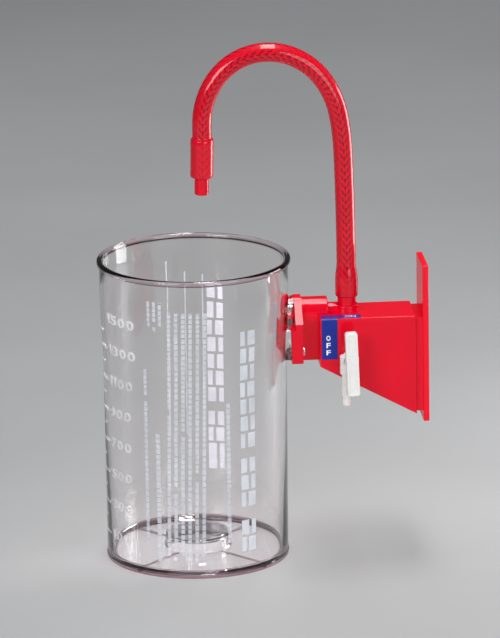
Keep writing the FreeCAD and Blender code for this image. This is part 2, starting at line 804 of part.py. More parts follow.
def valve_handle():
    """The lever bar and its plug in one, leaning a little from upright as it was left."""
    front = hub_front_y()
    lever_back = front - lever_gap
    lever_front = lever_back - lever_thickness
    half_width = lever_width / 2
    half_length = lever_length / 2
    bar = block(hose_x - half_width, hose_x + half_width, lever_front, lever_back,
                valve_z - half_length, valve_z + half_length)
    bar = bar.makeFillet(lever_corner, edges_where(bar, lambda e: runs_along(e, ALONG_Y)))
    face_edges = edges_where(bar, lambda e: abs(e.CenterOfMass.y - lever_front) < same)
    bar = bar.makeFillet(lever_edge, face_edges)
    dish = block(hose_x - half_width + lever_dish_margin, hose_x + half_width - lever_dish_margin,
                 lever_front, lever_front + lever_dish_depth,
                 valve_z - half_length + lever_dish_margin, valve_z + half_length - lever_dish_margin)
    dish = dish.makeFillet(lever_corner / 2, edges_where(dish, lambda e: runs_along(e, ALONG_Y)))
    bar = bar.cut(dish)
    shoulder = front + plug_shoulder_gap
    plug_end = shoulder + plug_length - plug_shoulder_gap
    neck = rod_y(plug_neck_radius, lever_back, shoulder, hose_x, valve_z)
    plug = rod_y(plug_radius, shoulder, plug_end, hose_x, valve_z)
    pin_end = front + stop_pin_height - stop_gap
    pin = rod_y(stop_pin_radius, lever_back, pin_end, hose_x, valve_z + stop_radius)
    solid = bar.fuse([neck, plug, pin])
    cuts = [
        rod_y(plug_bore_radius, nipple_y, plug_end, hose_x, valve_z),
        rod_x(plug_port_radius, hose_x - plug_radius, hose_x, nipple_y, valve_z),
    ]
    waist = rod_y(plug_radius - plug_groove_depth, lever_front, plug_end, hose_x, valve_z)
    for y in plug_groove_places():
        groove = rod_y(plug_radius, y - plug_groove_width / 2, y + plug_groove_width / 2, hose_x, valve_z)
        cuts.append(groove.cut(waist))
    solid = solid.cut(cuts).removeSplitter()
    solid.rotate(at(hose_x, 0, valve_z), ALONG_Y, -lever_lean)
    keep("valve_handle", solid)


def plug_groove_places():
    return [nipple_y - plug_groove_offset, nipple_y + plug_groove_offset]


def plug_seals():
    """The two rings that ride in the plug's grooves, one each side of its port."""
    radius = plug_radius - plug_groove_depth / 2
    for name, y in zip(("plug_seal_front", "plug_seal_rear"), plug_groove_places()):
        keep(name, ring(radius, plug_groove_depth, at(hose_x, y, valve_z), ALONG_Y))


def clip_front_y():
    return hub_front_y() + plug_shoulder_gap - clip_gap - clip_thickness


def plug_clip():
    """The open retaining ring that keeps the plug in its barrel."""
    y = clip_front_y()
    y0 = y - clip_gap
    y1 = y + clip_thickness + clip_gap
    half = clip_opening / 2
    clip = rod_y(clip_outer_radius, y, y + clip_thickness, hose_x, valve_z)
    clip = clip.cut([
        rod_y(plug_neck_radius + clip_gap, y0, y1, hose_x, valve_z),
        block(hose_x - half, hose_x + half, y0, y1, valve_z - clip_outer_radius - clip_gap, valve_z),
    ])
    keep("plug_clip", clip)


def valve_gasket():
    back = -bracket_half_depth
    gasket = rod_y(gasket_radius, hub_back_y(), back, hose_x, valve_z)
    hole = rod_y(spigot_radius + fit_gap, hub_back_y(), back, hose_x, valve_z)
    keep("valve_gasket", gasket.cut(hole))


def valve_nut():
    """The hexagon nut on the spigot, tightened against the inside of the body's front wall."""
    y = -bracket_half_depth + shell
    corner = nut_flats / math.sqrt(3)
    points = []
    for side in range(6):
        angle = math.radians(60 * side)
        points.append(at(hose_x + corner * math.cos(angle), y, valve_z + corner * math.sin(angle)))
    nut = Part.Face(Part.Wire(lines(points + points[:1]))).extrude(ALONG_Y * nut_thickness)
    keep("valve_nut", nut.cut(rod_y(spigot_radius + fit_gap, y, y + nut_thickness, hose_x, valve_z)))


def elbow_socket_front_y():
    return hub_back_y() + spigot_depth + fit_gap


def duct_elbow():
    """The elbow inside the body that leads the vacuum from the valve up to the hose boss."""
    front = elbow_socket_front_y()
    seat = front + nose_length + fit_gap
    tube_radius = boss_bore_radius - fit_gap
    socket = rod_y(elbow_socket_radius, front, elbow_socket_radius, hose_x, valve_z)
    end_rim = edges_where(socket, lambda e: abs(e.CenterOfMass.y - elbow_socket_radius) < same)
    socket = socket.makeFillet(hub_edge, end_rim)
    tube = rod_z(tube_radius, valve_z, elbow_top_z, hose_x, 0)
    solid = socket.fuse(tube).cut([
        rod_y(nose_radius + fit_gap, front, seat, hose_x, valve_z),
        rod_y(elbow_bore_radius, seat, 0, hose_x, valve_z),
        rod_z(elbow_bore_radius, valve_z, elbow_top_z, hose_x, 0),
    ])
    groove_z = elbow_seal_z()
    groove_half = seal_section * seal_groove_slack / 2
    groove = rod_z(boss_bore_radius, groove_z - groove_half, groove_z + groove_half, hose_x, 0)
    groove = groove.cut(rod_z(boss_bore_radius - seal_section, valve_z, elbow_top_z, hose_x, 0))
    keep("duct_elbow", solid.cut(groove).removeSplitter())


def elbow_seal_z():
    return (boss_bottom_z + elbow_top_z) / 2


def duct_seals():
    """Two rings: one between the valve's nose and the elbow, one between the elbow and the boss."""
    nose_y = hub_back_y() + spigot_depth + nose_length / 2
    section = seal_section - fit_gap
    nose_ring_radius = nose_radius + fit_gap - seal_section / 2
    boss_ring_radius = boss_bore_radius - seal_section / 2
    nose_ring = ring(nose_ring_radius, section, at(hose_x, nose_y, valve_z), ALONG_Y)
    boss_ring = ring(boss_ring_radius, section, at(hose_x, 0, elbow_seal_z()), ALONG_Z)
    keep("nose_seal", nose_ring)
    keep("boss_seal", boss_ring)


def valve_label():
    """The L-shaped sticker: one leg on the front of the body, folded over to one on its top."""
    front = -bracket_half_depth
    fold_z = body_top_z - fold_edge
    fold_y = front + fold_edge
    thick = label_thickness
    half_turn = math.sqrt(0.5)
    outer_fold = fold_edge + thick
    bottom = body_top_z - label_leg_length
    back = front + label_top_depth
    points = [
        at(0, front - thick, bottom), at(0, front - thick, fold_z), at(0, fold_y, body_top_z + thick),
        at(0, back, body_top_z + thick), at(0, back, body_top_z), at(0, fold_y, body_top_z),
        at(0, front, fold_z), at(0, front, bottom),
    ]
    outer_middle = at(0, fold_y - outer_fold * half_turn, fold_z + outer_fold * half_turn)
    inner_middle = at(0, fold_y - fold_edge * half_turn, fold_z + fold_edge * half_turn)
    outer_arc = Part.Arc(points[1], outer_middle, points[2]).toShape()
    inner_arc = Part.Arc(points[5], inner_middle, points[6]).toShape()
    edges = lines(points[0:2]) + [outer_arc] + lines(points[2:6])
    edges += [inner_arc] + lines(points[6:8]) + lines([points[7], points[0]])
    leg = Part.Face(Part.Wire(edges)).extrude(ALONG_X * label_leg_width)
    start = body_start_x + body_edge + label_inset_x
    leg.translate(ALONG_X * start)
    top = block(start, start + label_top_length, fold_y, back, body_top_z, body_top_z + thick)
    keep("valve_label", leg.fuse(top).removeSplitter())


def build():
    canister()
    port_seal()
    bracket_housing()
    rear_cover()
    cover_screws()
    lug_screws()
    hose_fitting()
    vacuum_hose()
    hose_connector()
    valve_body()
    valve_handle()
    plug_seals()
    plug_clip()
    valve_gasket()
    valve_nut()
    duct_elbow()
    duct_seals()
    valve_label()
    os.makedirs("parts", exist_ok=True)
    for name, shape in made.items():
        print(name, "valid", shape.isValid(), "solids", len(shape.Solids), "volume", round(shape.Volume, 1))
        shape.exportStep("parts/" + name + ".step")


build()
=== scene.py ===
"""Suction canister: the clear jar with its print, the braided hose, the bracket's finishes and the stage.

Metres, in the part's own frame: the origin is the centre of the jar's base, +Z is up, +X points from the
jar to the bracket, and the valve lever faces -Y.
"""
import json
import math

import bpy
from bpy.props import FloatProperty, FloatVectorProperty, IntProperty, PointerProperty
from mathutils import Matrix, Vector


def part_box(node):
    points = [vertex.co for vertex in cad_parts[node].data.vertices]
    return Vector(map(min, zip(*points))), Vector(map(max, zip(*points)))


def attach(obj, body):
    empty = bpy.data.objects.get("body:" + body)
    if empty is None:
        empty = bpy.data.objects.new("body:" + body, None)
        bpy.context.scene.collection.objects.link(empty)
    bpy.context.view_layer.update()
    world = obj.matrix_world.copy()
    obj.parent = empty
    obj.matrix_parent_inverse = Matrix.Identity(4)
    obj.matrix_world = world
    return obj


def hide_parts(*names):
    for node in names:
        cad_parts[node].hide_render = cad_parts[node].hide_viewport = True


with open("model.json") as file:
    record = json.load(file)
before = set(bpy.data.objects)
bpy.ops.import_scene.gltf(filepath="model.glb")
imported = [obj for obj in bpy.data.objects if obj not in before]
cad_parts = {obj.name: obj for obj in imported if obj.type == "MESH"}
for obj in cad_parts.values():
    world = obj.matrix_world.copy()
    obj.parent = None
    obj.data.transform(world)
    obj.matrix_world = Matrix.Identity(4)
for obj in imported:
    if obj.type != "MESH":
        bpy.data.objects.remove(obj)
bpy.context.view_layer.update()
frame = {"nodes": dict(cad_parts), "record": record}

bl_info = {
    "name": "Suction canister",
    "version": (1, 0, 0),
    "blender": (4, 5, 0),
    "location": "View3D > Sidebar > Canister",
    "description": "Builds the looks of a wall-mounted suction canister round its packed solids",
    "category": "Object",
}

MM = 0.001
MAIN_BODY = "canister_and_bracket"
FLARE_START = 118.0 * MM
FLARE_END = 178.0 * MM
jar_low, jar_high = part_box("canister")
bracket_low, bracket_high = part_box("bracket_housing")
label_low, label_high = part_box("valve_label")

FINISH_OF_SLOT = {
    "clear_plastic": "jar_plastic",
    "red_plastic": "bracket_red",
    "white_plastic": "valve_white",
    "blue_label": "label_film",
    "seal_rubber": "ring_rubber",
    "screw_steel": "screw_metal",
}


# Sizes and colours that a user may change

class JarSizes(bpy.types.PropertyGroup):
    wall: FloatProperty(name="Wall", description="Thickness of the jar's wall",
                        default=2.2 * MM, unit="LENGTH")
    foot_radius: FloatProperty(name="Foot radius", description="Outer radius of the foot ring",
                               default=57.8 * MM, unit="LENGTH")
    foot_inner_radius: FloatProperty(name="Foot inner radius", description="Inner radius of the foot ring",
                                     default=55.0 * MM, unit="LENGTH")
    low_radius: FloatProperty(name="Low radius", description="Outer radius of the barrel above the foot",
                              default=57.4 * MM, unit="LENGTH")
    mid_radius: FloatProperty(name="Mid radius", description="Outer radius where the flare starts",
                              default=57.9 * MM, unit="LENGTH")
    neck_radius: FloatProperty(name="Neck radius", description="Outer radius of the barrel under the rim",
                               default=59.4 * MM, unit="LENGTH")
    rim_radius: FloatProperty(name="Rim radius", description="Outer radius of the rim bead",
                              default=61.0 * MM, unit="LENGTH")
    segments: IntProperty(name="Segments", description="Segments round the jar", default=192)


class PrintSizes(bpy.types.PropertyGroup):
    ink_thickness: FloatProperty(name="Ink", description="Thickness of the printed ink",
                                 default=0.06 * MM, unit="LENGTH")
    mark_pitch: FloatProperty(name="Mark pitch", description="Height between two graduations",
                              default=20.25 * MM, unit="LENGTH")
    top_mark: FloatProperty(name="Top mark", description="Height of the highest graduation",
                            default=161.0 * MM, unit="LENGTH")
    numeral_height: FloatProperty(name="Numeral height", description="Height of the scale's numbers",
                                  default=6.3 * MM, unit="LENGTH")
    numeral_width: FloatProperty(name="Numeral width", description="Width of one digit of the scale",
                                 default=6.7 * MM, unit="LENGTH")


class HoseSizes(bpy.types.PropertyGroup):
    radius: FloatProperty(name="Radius", description="Outer radius of the tube",
                          default=6.1 * MM, unit="LENGTH")
    swell_radius: FloatProperty(name="Swell radius", description="Radius of the tube over its barb",
                                default=7.2 * MM, unit="LENGTH")
    cuff_radius: FloatProperty(name="Cuff radius", description="Radius of the moulded cuff at the free end",
                               default=7.3 * MM, unit="LENGTH")
    braid_pitch: FloatProperty(name="Braid pitch", description="Length of one chevron of the braid",
                               default=4.75 * MM, unit="LENGTH")


class Finishes(bpy.types.PropertyGroup):
    red: FloatVectorProperty(name="Red", description="Moulded red plastic", subtype="COLOR", size=4,
                             default=(0.70, 0.001, 0.018, 1.0))
    # Paler red for the painted highlight on the bracket's edges, also used for a random drift of tone on the
    # bracket and hose.
    highlight_and_tone_red: FloatVectorProperty(name="Bright red", description="Red plastic where it is thin",
                                    subtype="COLOR", size=4, default=(0.90, 0.003, 0.022, 1.0))
    hose_red: FloatVectorProperty(name="Hose red", description="Clear red tube", subtype="COLOR", size=4,
                                  default=(0.60, 0.002, 0.018, 1.0))
    braid_red: FloatVectorProperty(name="Braid red", description="Braid inside the tube", subtype="COLOR",
                                   size=4, default=(0.27, 0.0, 0.006, 1.0))
    ivory: FloatVectorProperty(name="White", description="Moulded white plastic", subtype="COLOR", size=4,
                               default=(0.84, 0.83, 0.815, 1.0))
    blue: FloatVectorProperty(name="Blue", description="Blue label film", subtype="COLOR", size=4,
                              default=(0.010, 0.030, 0.33, 1.0))
    ink: FloatVectorProperty(name="Ink", description="White print on the jar", subtype="COLOR", size=4,
                             default=(0.80, 0.83, 0.90, 1.0))
    floor: FloatVectorProperty(name="Floor", description="Pale studio floor", subtype="COLOR", size=4,
                               default=(0.44, 0.445, 0.45, 1.0))


class StageSizes(bpy.types.PropertyGroup):
    elevation: FloatProperty(name="Elevation", description="Camera height above level",
                             default=math.radians(15.78), subtype="ANGLE")
    azimuth: FloatProperty(name="Azimuth", description="Camera turn from straight on",
                           default=math.radians(-5.0), subtype="ANGLE")
    roll: FloatProperty(name="Roll", description="Camera roll", default=math.radians(-0.85), subtype="ANGLE")
    distance: FloatProperty(name="Distance", description="Camera distance from its target",
                            default=4410.8 * MM, unit="LENGTH")
    floor_half: FloatProperty(name="Floor", description="Half width of the floor",
                              default=6.0, unit="LENGTH")


# Shader nodes

def link_or_set(tree, socket, value):
    if isinstance(value, bpy.types.NodeSocket):
        tree.links.new(value, socket)
    else:
        socket.default_value = value


def feed(tree, node, **values):
    """Feeds a node's inputs by name, an underscore for a space, from other nodes or with plain values."""
    for name, value in values.items():
        link_or_set(tree, node.inputs[name.replace("_", " ")], value)
    return node


def add_node(tree, kind, **values):
    return feed(tree, tree.nodes.new(kind), **values)


def calc(tree, operation, *values):
    node = tree.nodes.new("ShaderNodeMath")
    node.operation = operation
    for socket, value in zip(node.inputs, values):
        link_or_set(tree, socket, value)
    return node.outputs[0]


def smooth_range(tree, value, low, high, to_low=0.0, to_high=1.0):
    node = add_node(tree, "ShaderNodeMapRange", Value=value, From_Min=low, From_Max=high,
                    To_Min=to_low, To_Max=to_high)
    node.interpolation_type = "SMOOTHSTEP"
    return node.outputs[0]


def mix_colours(tree, factor, first, second):
    node = add_node(tree, "ShaderNodeMix")
    node.data_type = "RGBA"
    colour_inputs = [socket for socket in node.inputs if socket.type == "RGBA"]
    link_or_set(tree, node.inputs["Factor"], factor)
    link_or_set(tree, colour_inputs[0], first)
    link_or_set(tree, colour_inputs[1], second)
    return next(socket for socket in node.outputs if socket.type == "RGBA")


def shaded(colour, factor):
    """A plain colour made darker or paler by a factor."""
    return [min(1.0, factor * channel) for channel in colour[:3]] + [1.0]


def noise(tree, vector, scale, detail=3.0, roughness=0.5):
    node = add_node(tree, "ShaderNodeTexNoise", Vector=vector, Scale=scale, Detail=detail,
                    Roughness=roughness)
    return node.outputs["Fac"]


def object_place(tree):
    return tree.nodes.new("ShaderNodeTexCoord").outputs["Object"]


def split_axes(tree, vector):
    return add_node(tree, "ShaderNodeSeparateXYZ", Vector=vector).outputs


def new_group(name, inputs, outputs):
    """An empty shader node group with named sockets, and its inner input and output nodes."""
    tree = bpy.data.node_groups.new(name, "ShaderNodeTree")
    for socket_name, kind, default in inputs:
        socket = tree.interface.new_socket(socket_name, in_out="INPUT", socket_type="NodeSocket" + kind)
        if default is not None:
            socket.default_value = default
    for socket_name in outputs:
        tree.interface.new_socket(socket_name, in_out="OUTPUT", socket_type="NodeSocketFloat")
    return tree, tree.nodes.new("NodeGroupInput").outputs, tree.nodes.new("NodeGroupOutput")


def place_group(tree, group, **values):
    node = tree.nodes.new("ShaderNodeGroup")
    node.node_tree = bpy.data.node_groups[group]
    return feed(tree, node, **values).outputs


def moulded_grain_group():
    """Fine moulding texture, slow colour drift and faint smears for any moulded plastic."""
    tree, given, result = new_group(
        "moulded_grain",
        [("Vector", "Vector", None), ("Grain Scale", "Float", 1500.0), ("Drift Scale", "Float", 18.0)],
        ["Height", "Drift", "Smear"])
    place = given["Vector"]
    fine = noise(tree, place, given["Grain Scale"], 2.0)
    drift = noise(tree, place, given["Drift Scale"], 2.0)
    smear = noise(tree, place, calc(tree, "MULTIPLY", given["Drift Scale"], 6.0), 4.0, 0.7)
    feed(tree, result, Height=fine, Drift=smooth_range(tree, drift, 0.3, 0.7),
         Smear=smooth_range(tree, smear, 0.42, 0.72))


def edge_band_group():
    """A soft band round the place where a coordinate reaches a level, for an edge that catches light."""
    tree, given, result = new_group(
        "edge_band",
        [("Coordinate", "Float", 0.0), ("Level", "Float", 0.0), ("Width", "Float", 1.0 * MM)],
        ["Mask"])
    gap = calc(tree, "ABSOLUTE", calc(tree, "SUBTRACT", given["Coordinate"], given["Level"]))
    feed(tree, result, Mask=smooth_range(tree, gap, 0.0, given["Width"], 1.0, 0.0))


def grain_at(tree, place, grain_scale, drift_scale):
    return place_group(tree, "moulded_grain", Vector=place, Grain_Scale=grain_scale, Drift_Scale=drift_scale)


def new_material(name):
    """The nodes and the Principled shader of a new material with nothing else in it."""
    material = bpy.data.materials.new(name)
    material.use_nodes = True
    tree = material.node_tree
    tree.nodes.clear()
    output = tree.nodes.new("ShaderNodeOutputMaterial")
    shader = tree.nodes.new("ShaderNodeBsdfPrincipled")
    tree.links.new(shader.outputs[0], output.inputs["Surface"])
    return tree, shader


def add_bump(tree, shader, height, distance, strength, edge_round=0.0):
    """Fine relief, on edges that look rounded by a radius where one is given."""
    bump = add_node(tree, "ShaderNodeBump", Height=height, Distance=distance, Strength=strength)
    if edge_round:
        edge = add_node(tree, "ShaderNodeBevel", Radius=edge_round)
        edge.samples = 8
        tree.links.new(edge.outputs[0], bump.inputs["Normal"])
    tree.links.new(bump.outputs[0], shader.inputs["Normal"])


def clear_plastic():
    """Clear moulded plastic; its rosy tint is deepened in the rim with a painted red reflection, in the foot
    and ribs with painted shade and a painted red reflection, and the raised middle gets a painted shade;
    lamps shine through it.
    """
    foot_top = 4.6 * MM
    rib_top = 1.5 * MM
    rib_reach = 52.6 * MM
    rim_low = jar_high[2] - 3.8 * MM
    middle_low = 11.8 * MM
    middle_radius = 20.9 * MM
    blur = 0.4 * MM
    wall_tint = (0.965, 0.95, 0.955, 1.0)
    # The rim's tint is the plastic's rosy tint with a painted reflection of the red parts.
    rim_tint_and_reflection = (0.82, 0.70, 0.73, 1.0)
    # The foot's and ribs' tint is the plastic's own rosy tint, darkened with painted shade and a painted
    # reflection of the red parts.
    foot_tint_and_shade = (0.36, 0.24, 0.27, 1.0)
    # Painted shade on the raised middle of the floor.
    punt_painted_shade = (0.30, 0.29, 0.31, 1.0)
    shadow_tint = (0.9, 0.885, 0.89, 1.0)
    tree, shader = new_material("jar_plastic")
    place = object_place(tree)
    axes = split_axes(tree, place)
    height = axes["Z"]
    flat = add_node(tree, "ShaderNodeCombineXYZ", X=axes["X"], Y=axes["Y"], Z=0.0)
    length = tree.nodes.new("ShaderNodeVectorMath")
    length.operation = "LENGTH"
    tree.links.new(flat.outputs[0], length.inputs[0])
    radius = length.outputs["Value"]
    ring = smooth_range(tree, radius, rib_reach, rib_reach + blur)
    # Foot and ribs: rosy tint of thick plastic with painted shade and a painted red reflection.
    foot = calc(tree, "MULTIPLY", smooth_range(tree, height, foot_top - blur, foot_top, 1.0, 0.0), ring)
    ribs = calc(tree, "MULTIPLY", smooth_range(tree, height, rib_top - blur, rib_top, 1.0, 0.0),
                calc(tree, "SUBTRACT", 1.0, ring))
    rim = smooth_range(tree, height, rim_low - blur, rim_low)
    thick = calc(tree, "MAXIMUM", foot, ribs)
    # Mask of the painted shade on the raised middle.
    middle = calc(tree, "MULTIPLY", smooth_range(tree, height, middle_low, middle_low + blur),
                  smooth_range(tree, radius, middle_radius, middle_radius + blur, 1.0, 0.0))
    # The rim, foot and rib tints carry painted reflection and painted shade over the plain wall tint.
    tints_and_painted_light = mix_colours(tree, thick, mix_colours(tree, rim, wall_tint, rim_tint_and_reflection), foot_tint_and_shade)
    grain = grain_at(tree, place, 300.0, 9.0)
    feed(tree, shader, Base_Color=mix_colours(tree, middle, tints_and_painted_light, punt_painted_shade), Transmission_Weight=1.0,
         IOR=1.53, Roughness=smooth_range(tree, grain["Smear"], 0.0, 1.0, 0.0, 0.035))
    add_bump(tree, shader, grain["Drift"], 0.12 * MM, 0.5)
    clear = add_node(tree, "ShaderNodeBsdfTransparent", Color=shadow_tint)
    rays = tree.nodes.new("ShaderNodeLightPath")
    blend = tree.nodes.new("ShaderNodeMixShader")
    sources = (rays.outputs["Is Shadow Ray"], shader.outputs[0], clear.outputs[0])
    for source, socket in zip(sources, blend.inputs):
        tree.links.new(source, socket)
    tree.links.new(blend.outputs[0], tree.nodes["Material Output"].inputs["Surface"])


def print_ink(colour, name, cover=1.0, low_cover=None):
    """Screen-printed ink with pinholes and a thin, uneven coat, which low_cover thins towards the foot."""
    wear = 0.12
    faint_low = 55.0 * MM
    faint_high = 162.0 * MM
    tree, shader = new_material(name)
    place = object_place(tree)
    grain = grain_at(tree, place, 900.0, 60.0)
    alpha = smooth_range(tree, grain["Smear"], 0.55, 1.0, cover, cover * (1.0 - wear))
    # The ink grows fainter towards the foot.
    if low_cover is not None:
        height = split_axes(tree, place)["Z"]
        alpha = calc(tree, "MULTIPLY", alpha,
                     smooth_range(tree, height, faint_low, faint_high, low_cover, 1.0))
    feed(tree, shader, Base_Color=mix_colours(tree, grain["Drift"], colour, shaded(colour, 0.86)),
         Roughness=0.45, Alpha=alpha)
    add_bump(tree, shader, grain["Height"], 0.01 * MM, 0.5)


def red_plastic(colours):
    """Semi-gloss moulded red with a painted highlight along the top edge and the back end, and a slow random
    drift of tone.
    """
    edge_width = 5.0 * MM
    tree, shader = new_material("bracket_red")
    place = object_place(tree)
    axes = split_axes(tree, place)
    grain = grain_at(tree, place, 1400.0, 22.0)
    # Painted highlight bands along the top edge and the back end, mixed below with a slow random drift of
    # tone.
    top_highlight = place_group(tree, "edge_band", Coordinate=axes["Z"], Level=label_high[2], Width=edge_width)
    back_highlight = place_group(tree, "edge_band", Coordinate=axes["X"], Level=bracket_high[0] - 1.5 * MM,
                            Width=edge_width)
    highlight_and_drift = calc(tree, "MAXIMUM", calc(tree, "MULTIPLY", top_highlight["Mask"], 0.4), back_highlight["Mask"])
    highlight_and_drift = calc(tree, "MAXIMUM", highlight_and_drift, calc(tree, "MULTIPLY", grain["Drift"], 0.25))
    feed(tree, shader, Base_Color=mix_colours(tree, highlight_and_drift, colours.red, colours.highlight_and_tone_red),
         Roughness=smooth_range(tree, grain["Smear"], 0.0, 1.0, 0.2, 0.34),
         Specular_IOR_Level=0.0, Coat_Weight=0.6, Coat_Roughness=0.06)
    add_bump(tree, shader, grain["Height"], 0.01 * MM, 0.5, edge_round=0.7 * MM)


def braided_hose(colours, sizes, length):
    """Clear red tube over a woven braid: columns of dark slanted gaps between the threads, set in V's."""
    apexes = 4.0
    columns_per_turn = 20.0
    rise = 2.5
    full_turn = 2.0 * math.pi
    tree, shader = new_material("hose_braid")
    uv = tree.nodes.new("ShaderNodeUVMap")
    uv.uv_map = "UVMap"
    axes = split_axes(tree, uv.outputs[0])
    around = calc(tree, "FRACT", calc(tree, "MULTIPLY_ADD", axes["X"], apexes, 0.5))
    side = calc(tree, "ABSOLUTE", calc(tree, "SUBTRACT", around, 0.5))
    along = calc(tree, "MULTIPLY", axes["Y"], length)
    flip = smooth_range(tree, along, 0.44 * length, 0.54 * length, -rise, rise)
    phase = calc(tree, "MULTIPLY_ADD", side, flip, calc(tree, "DIVIDE", along, sizes.braid_pitch))
    wave = calc(tree, "COSINE", calc(tree, "MULTIPLY", phase, full_turn))
    column = calc(tree, "COSINE", calc(tree, "MULTIPLY", axes["X"], full_turn * columns_per_turn))
    gap = calc(tree, "ADD", wave, calc(tree, "MULTIPLY", column, 0.6))
    gap = smooth_range(tree, gap, -0.1, 0.9)
    gap = calc(tree, "MULTIPLY", gap, smooth_range(tree, side, 0.2, 0.42, 1.0, 0.25))
    swell_fade = smooth_range(tree, along, 3.0 * MM, 20.0 * MM, 0.1, 1.0)
    cuff_fade = smooth_range(tree, along, length - 27.0 * MM, length - 23.0 * MM, 1.0, 0.4)
    gap = calc(tree, "MULTIPLY", calc(tree, "MULTIPLY", gap, swell_fade), cuff_fade)
    grain = grain_at(tree, object_place(tree), 1200.0, 35.0)
    drift = calc(tree, "MULTIPLY", grain["Drift"], 0.3)
    base = mix_colours(tree, drift, colours.hose_red, colours.highlight_and_tone_red)
    feed(tree, shader, Base_Color=mix_colours(tree, gap, base, colours.braid_red), Roughness=0.35,
         Specular_IOR_Level=0.1, Coat_Weight=0.65, Coat_Roughness=0.06)
    add_bump(tree, shader, calc(tree, "SUBTRACT", grain["Drift"], gap), 0.05 * MM, 0.3)


def white_plastic(colours):
    """Satin moulded white with faint soiled smears."""
    tree, shader = new_material("valve_white")
    grain = grain_at(tree, object_place(tree), 1300.0, 40.0)
    soiled = calc(tree, "MULTIPLY", grain["Smear"], 0.5)
    feed(tree, shader, Base_Color=mix_colours(tree, soiled, colours.ivory, shaded(colours.ivory, 0.88)),
         Roughness=smooth_range(tree, grain["Drift"], 0.0, 1.0, 0.34, 0.46),
         Subsurface_Weight=0.15, Subsurface_Scale=1.2 * MM)
    add_bump(tree, shader, grain["Height"], 0.02 * MM, 0.6)


def label_film(colours):
    """Blue film with a painted highlight, a paler line, where it folds over the top edge."""
    fold_width = 0.5 * MM
    fold_highlight_blue = (0.16, 0.22, 0.62, 1.0)
    tree, shader = new_material("label_film")
    place = object_place(tree)
    grain = grain_at(tree, place, 1600.0, 45.0)
    # Painted highlight along the fold at the label's top edge.
    fold = place_group(tree, "edge_band", Coordinate=split_axes(tree, place)["Z"],
                       Level=label_high[2] - fold_width, Width=fold_width)
    film = mix_colours(tree, grain["Drift"], colours.blue, shaded(colours.blue, 0.8))
    fold_highlight = calc(tree, "MULTIPLY", fold["Mask"], 0.6)
    feed(tree, shader, Base_Color=mix_colours(tree, fold_highlight, film, fold_highlight_blue), Roughness=0.3,
         Specular_IOR_Level=0.25, Coat_Weight=0.15)
    add_bump(tree, shader, grain["Drift"], 0.03 * MM, 0.4)


def seal_rubber():
    """Matt black rubber."""
    tree, shader = new_material("ring_rubber")
    grain = grain_at(tree, object_place(tree), 1800.0, 120.0)
    feed(tree, shader, Roughness=0.6,
         Base_Color=mix_colours(tree, grain["Drift"], (0.012, 0.012, 0.013, 1.0), (0.03, 0.03, 0.032, 1.0)))
    add_bump(tree, shader, grain["Height"], 0.03 * MM, 0.6)


def screw_steel():
    """Bright steel with a slight drift of tone."""
    tree, shader = new_material("screw_metal")
    grain = grain_at(tree, object_place(tree), 2600.0, 260.0)
    feed(tree, shader, Metallic=1.0, Roughness=smooth_range(tree, grain["Smear"], 0.0, 1.0, 0.22, 0.4),
         Base_Color=mix_colours(tree, grain["Drift"], (0.58, 0.58, 0.6, 1.0), (0.46, 0.46, 0.47, 1.0)))
    add_bump(tree, shader, grain["Height"], 0.01 * MM, 0.5)


def pale_floor(colours):
    """A pale floor with faint clouds, paler with its distance."""
    cloud_depth = 0.07
    black = (0.0, 0.0, 0.0, 1.0)
    tree, shader = new_material("pale_floor")
    place = object_place(tree)
    cloud = noise(tree, place, 2.5, 4.0)
    distance = smooth_range(tree, split_axes(tree, place)["Y"], 0.1, 1.7)
    tone = mix_colours(tree, distance, colours.floor, shaded(colours.floor, 1.7))
    shade = mix_colours(tree, cloud_depth, tone, black)
    feed(tree, shader, Base_Color=mix_colours(tree, smooth_range(tree, cloud, 0.35, 0.65), tone, shade),
         Roughness=0.6)


# Modelling

def clear_selection():
    if bpy.context.object and bpy.context.object.mode != "OBJECT":
        bpy.ops.object.mode_set(mode="OBJECT")
    bpy.ops.object.select_all(action="DESELECT")


def pick(*pieces):
    """Selects only these pieces, with the first as the active one."""
    clear_selection()
    for piece in pieces:
        piece.select_set(True)
    bpy.context.view_layer.objects.active = pieces[0]


def settle(piece):
    """Puts a piece's place, turn and size into its mesh."""
    pick(piece)
    bpy.ops.object.transform_apply(location=True, rotation=True, scale=True)


def apply_modifiers(piece):
    pick(piece)
    for modifier in list(piece.modifiers):
        bpy.ops.object.modifier_apply(modifier=modifier.name)


def tidy_mesh(piece):
    """Merges doubled points and turns the faces outwards."""
    merge = 1e-6
    pick(piece)
    bpy.ops.object.mode_set(mode="EDIT")
    bpy.ops.mesh.select_all(action="SELECT")
    bpy.ops.mesh.remove_doubles(threshold=merge)
    bpy.ops.mesh.normals_make_consistent(inside=False)
    bpy.ops.object.mode_set(mode="OBJECT")


def smooth(piece, angle):
    pick(piece)
    bpy.ops.object.shade_smooth_by_angle(angle=math.radians(angle))


def lathe(name, profile, segments):
    """Turns an outline of (radius, height) points round the jar's axis."""
    clear_selection()
    bpy.ops.mesh.primitive_plane_add(size=MM)
    piece = bpy.context.object
    piece.name = name
    bpy.ops.object.mode_set(mode="EDIT")
    bpy.ops.mesh.select_all(action="SELECT")
    bpy.ops.mesh.merge(type="CENTER")
    radius, height = profile[0]
    bpy.ops.transform.translate(value=(radius, 0.0, height))
    for (r0, z0), (r1, z1) in zip(profile, profile[1:]):
        bpy.ops.mesh.extrude_region_move(TRANSFORM_OT_translate={"value": (r1 - r0, 0.0, z1 - z0)})
    bpy.ops.mesh.select_all(action="SELECT")
    bpy.ops.mesh.spin(steps=segments, angle=2.0 * math.pi, center=(0.0, 0.0, 0.0), axis=(0.0, 0.0, 1.0))
    bpy.ops.object.mode_set(mode="OBJECT")
    tidy_mesh(piece)
    return piece


